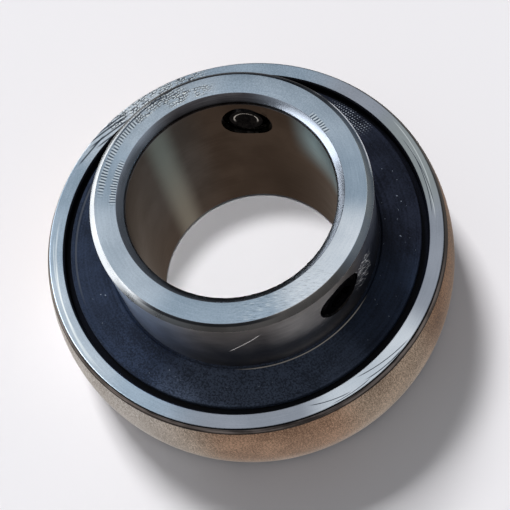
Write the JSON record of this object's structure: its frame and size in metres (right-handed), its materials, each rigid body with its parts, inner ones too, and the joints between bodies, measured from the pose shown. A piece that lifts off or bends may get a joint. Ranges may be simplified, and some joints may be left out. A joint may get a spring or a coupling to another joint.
{
  "type": "insert bearing",
  "caption": "Insert ball bearing with spherical outer ring, rubber-faced flingers, and an inner ring extended on one side with set screws that lock it on a shaft.",
  "frame": {"origin": "centre of the ball row on the bore's axis, which is also the centre of the spherical outside", "axes": "+Z along the bore, towards the long end of the inner ring with the set screws; +X along the axis of set screw a"},
  "size_m": [0.052, 0.052, 0.027],
  "materials": {
    "ring_steel": "ground and polished bearing steel",
    "plate_steel": "pressed sheet steel",
    "seal_rubber": "matte nitrile rubber",
    "flinger_rubber": "matte speckled rubber",
    "cage_steel": "pressed sheet steel",
    "rivet_steel": "bare steel",
    "ball_steel": "polished",
    "screw_steel": "black oxide"
  },
  "bodies": {
    "outer": {"outer_ring": "ring_steel", "seal_shell_upper": "plate_steel", "seal_shell_lower": "plate_steel", "seal_rubber_upper": "seal_rubber", "seal_rubber_lower": "seal_rubber"},
    "inner": {"inner_ring": "ring_steel", "flinger_plate_upper": "plate_steel", "flinger_plate_lower": "plate_steel", "flinger_rubber_upper": "flinger_rubber", "flinger_rubber_lower": "flinger_rubber"},
    "cage": {"cage_upper": "cage_steel", "cage_lower": "cage_steel", "cage_rivets": "rivet_steel"},
    "ball_body_1": {"ball_1": "ball_steel"},
    "ball_body_2": {"ball_2": "ball_steel"},
    "ball_body_3": {"ball_3": "ball_steel"},
    "ball_body_4": {"ball_4": "ball_steel"},
    "ball_body_5": {"ball_5": "ball_steel"},
    "ball_body_6": {"ball_6": "ball_steel"},
    "ball_body_7": {"ball_7": "ball_steel"},
    "ball_body_8": {"ball_8": "ball_steel"},
    "ball_body_9": {"ball_9": "ball_steel"},
    "screw_a": {"set_screw_a": "screw_steel"},
    "screw_b": {"set_screw_b": "screw_steel"}
  },
  "joints": [
    {"name": "inner_spin", "type": "hinge", "parent": "outer", "child": "inner", "pos_m": [0, 0, 0], "axis": [0, 0, 1], "continuous": true},
    {"name": "cage_spin", "type": "hinge", "parent": "outer", "child": "cage", "pos_m": [0, 0, 0], "axis": [0, 0, 1], "continuous": true},
    {"name": "ball_1_spin", "type": "hinge", "parent": "cage", "child": "ball_body_1", "pos_m": [0.01832, 0.00667, 0], "axis": [0, 0, 1], "continuous": true},
    {"name": "ball_2_spin", "type": "hinge", "parent": "cage", "child": "ball_body_2", "pos_m": [0.00975, 0.01689, 0], "axis": [0, 0, 1], "continuous": true},
    {"name": "ball_3_spin", "type": "hinge", "parent": "cage", "child": "ball_body_3", "pos_m": [-0.00339, 0.0192, 0], "axis": [0, 0, 1], "continuous": true},
    {"name": "ball_4_spin", "type": "hinge", "parent": "cage", "child": "ball_body_4", "pos_m": [-0.01494, 0.01253, 0], "axis": [0, 0, 1], "continuous": true},
    {"name": "ball_5_spin", "type": "hinge", "parent": "cage", "child": "ball_body_5", "pos_m": [-0.0195, 0, 0], "axis": [0, 0, 1], "continuous": true},
    {"name": "ball_6_spin", "type": "hinge", "parent": "cage", "child": "ball_body_6", "pos_m": [-0.01494, -0.01253, 0], "axis": [0, 0, 1], "continuous": true},
    {"name": "ball_7_spin", "type": "hinge", "parent": "cage", "child": "ball_body_7", "pos_m": [-0.00339, -0.0192, 0], "axis": [0, 0, 1], "continuous": true},
    {"name": "ball_8_spin", "type": "hinge", "parent": "cage", "child": "ball_body_8", "pos_m": [0.00975, -0.01689, 0], "axis": [0, 0, 1], "continuous": true},
    {"name": "ball_9_spin", "type": "hinge", "parent": "cage", "child": "ball_body_9", "pos_m": [0.01832, -0.00667, 0], "axis": [0, 0, 1], "continuous": true},
    {"name": "screw_a_travel", "type": "slide", "parent": "inner", "child": "screw_a", "axis": [1, 0, 0], "range_m": [-0.0025, 0.003]},
    {"name": "screw_b_travel", "type": "slide", "parent": "inner", "child": "screw_b", "axis": [-0.6018, 0.7986, 0], "range_m": [-0.0025, 0.003]}
  ],
  "couplings": [
    {"joint": "cage_spin", "follows": "inner_spin", "ratio": 0.39821},
    {"joint": "ball_1_spin", "follows": "inner_spin", "ratio": -2.3541},
    {"joint": "ball_2_spin", "follows": "inner_spin", "ratio": -2.3541},
    {"joint": "ball_3_spin", "follows": "inner_spin", "ratio": -2.3541},
    {"joint": "ball_4_spin", "follows": "inner_spin", "ratio": -2.3541},
    {"joint": "ball_5_spin", "follows": "inner_spin", "ratio": -2.3541},
    {"joint": "ball_6_spin", "follows": "inner_spin", "ratio": -2.3541},
    {"joint": "ball_7_spin", "follows": "inner_spin", "ratio": -2.3541},
    {"joint": "ball_8_spin", "follows": "inner_spin", "ratio": -2.3541},
    {"joint": "ball_9_spin", "follows": "inner_spin", "ratio": -2.3541}
  ]
}
